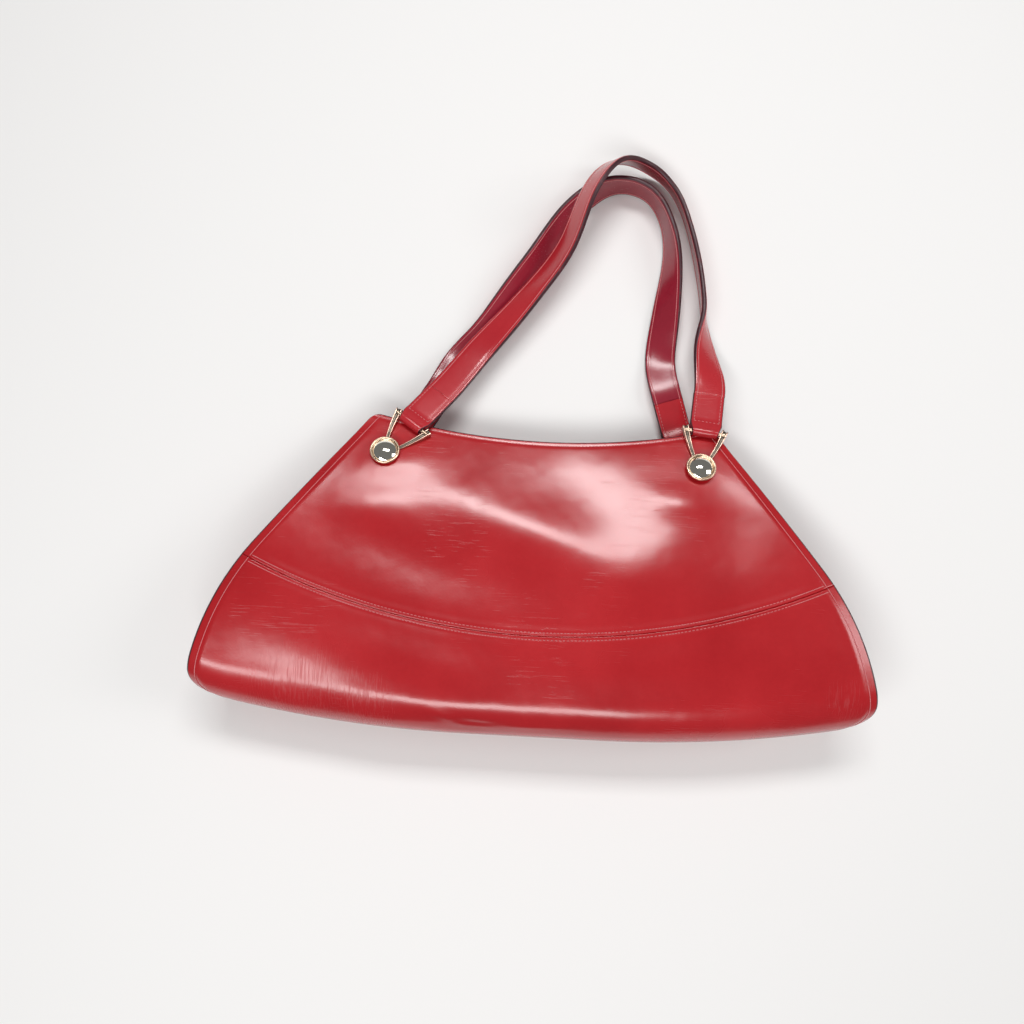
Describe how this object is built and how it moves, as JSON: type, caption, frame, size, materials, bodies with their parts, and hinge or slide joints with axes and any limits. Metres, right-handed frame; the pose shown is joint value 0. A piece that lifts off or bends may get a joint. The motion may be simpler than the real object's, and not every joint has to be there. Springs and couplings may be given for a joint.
{
  "type": "leather shoulder handbag",
  "caption": "Glossy red leather shoulder handbag with a trapezoid body, rolled bottom, curved seam, metal yokes on domed studs and twin strap handles, lying on its back.",
  "frame": {"origin": "centre of the flat strip on the base that the bag stands on when upright", "axes": "+X across the bag to its right as seen from the front, +Y from the base to the mouth and handles, +Z out of the front face; the bag lies on its back with the ground at the lowest z"},
  "size_m": [0.397, 0.3717, 0.0562],
  "materials": {
    "bag_leather": "high-gloss box leather",
    "strap_leather": "high-gloss box leather, painted edges",
    "strap_lining": "smooth, darker red",
    "lining_fabric": "plain woven lining",
    "zip_tape": "woven tape",
    "zip_metal": "pale gold plating",
    "stiffener_board": "fibre board",
    "mirror_gilt": "mirror-polished",
    "pale_gold": "polished pale gold",
    "antique_metal": "antique pale gold, worn bright on the edges"
  },
  "bodies": {
    "bag": {"back_left_stud_dome": "mirror_gilt", "back_left_stud_rim": "pale_gold", "back_mouth_facing": "strap_lining", "back_right_stud_dome": "mirror_gilt", "back_right_stud_rim": "pale_gold", "back_seam_tape": "zip_tape", "back_upper_panel": "bag_leather", "base_board": "stiffener_board", "front_left_stud_dome": "mirror_gilt", "front_left_stud_rim": "pale_gold", "front_mouth_facing": "strap_lining", "front_right_stud_dome": "mirror_gilt", "front_right_stud_rim": "pale_gold", "front_seam_tape": "zip_tape", "front_upper_panel": "bag_leather", "left_gusset": "bag_leather", "lining": "lining_fabric", "lower_wrap_panel": "bag_leather", "right_gusset": "bag_leather", "stud_nuts": "pale_gold", "zip_end_stops": "zip_metal", "zip_tape_back": "zip_tape", "zip_tape_front": "zip_tape", "zip_teeth_back": "zip_metal", "zip_teeth_front": "zip_metal"},
    "front_left_yoke_set": {"front_left_yoke": "antique_metal", "front_left_bar": "pale_gold", "front_left_strap_end": "strap_leather"},
    "front_right_yoke_set": {"front_right_yoke": "antique_metal", "front_right_bar": "pale_gold", "front_right_strap_end": "strap_leather"},
    "back_left_yoke_set": {"back_left_yoke": "antique_metal", "back_left_bar": "pale_gold", "back_left_strap_end": "strap_leather"},
    "back_right_yoke_set": {"back_right_yoke": "antique_metal", "back_right_bar": "pale_gold", "back_right_strap_end": "strap_leather"},
    "front_handle": {"front_handle_outer": "strap_leather", "front_handle_lining": "strap_lining"},
    "back_handle": {"back_handle_outer": "strap_leather", "back_handle_lining": "strap_lining"},
    "zip_slider": {"zip_slider": "zip_metal"},
    "zip_puller": {"zip_puller": "zip_metal"}
  },
  "joints": [
    {"name": "front_left_yoke_swivel", "type": "hinge", "parent": "bag", "child": "front_left_yoke_set", "pos_m": [-0.096, 0.1648, 0.00675], "axis": [0.0281, 0.2992, 0.9538], "range_deg": [-12, 12]},
    {"name": "front_right_yoke_swivel", "type": "hinge", "parent": "bag", "child": "front_right_yoke_set", "pos_m": [0.096, 0.1648, 0.00675], "axis": [-0.0281, 0.2992, 0.9538], "range_deg": [-12, 12]},
    {"name": "back_left_yoke_swivel", "type": "hinge", "parent": "bag", "child": "back_left_yoke_set", "pos_m": [-0.096, 0.1648, -0.02227], "axis": [0.0078, 0.0825, -0.9966], "range_deg": [-12, 12]},
    {"name": "back_right_yoke_swivel", "type": "hinge", "parent": "bag", "child": "back_right_yoke_set", "pos_m": [0.096, 0.1648, -0.02227], "axis": [-0.0078, 0.0825, -0.9966], "range_deg": [-12, 12]},
    {"name": "front_handle_lift", "type": "hinge", "parent": "bag", "child": "front_handle", "pos_m": [0, 0.209, -0.0025], "axis": [1, 0, 0], "range_deg": [0, 110]},
    {"name": "back_handle_swing", "type": "hinge", "parent": "bag", "child": "back_handle", "pos_m": [0, 0.2128, -0.0233], "axis": [1, 0, 0], "range_deg": [-110, 0]},
    {"name": "zip_slide", "type": "slide", "parent": "bag", "child": "zip_slider", "axis": [1, 0, 0], "range_m": [-0.144, 0]},
    {"name": "zip_puller_flip", "type": "hinge", "parent": "zip_slider", "child": "zip_puller", "pos_m": [0.072, 0.1635, -0.0078], "axis": [0, 0, 1], "range_deg": [-170, 0]}
  ]
}
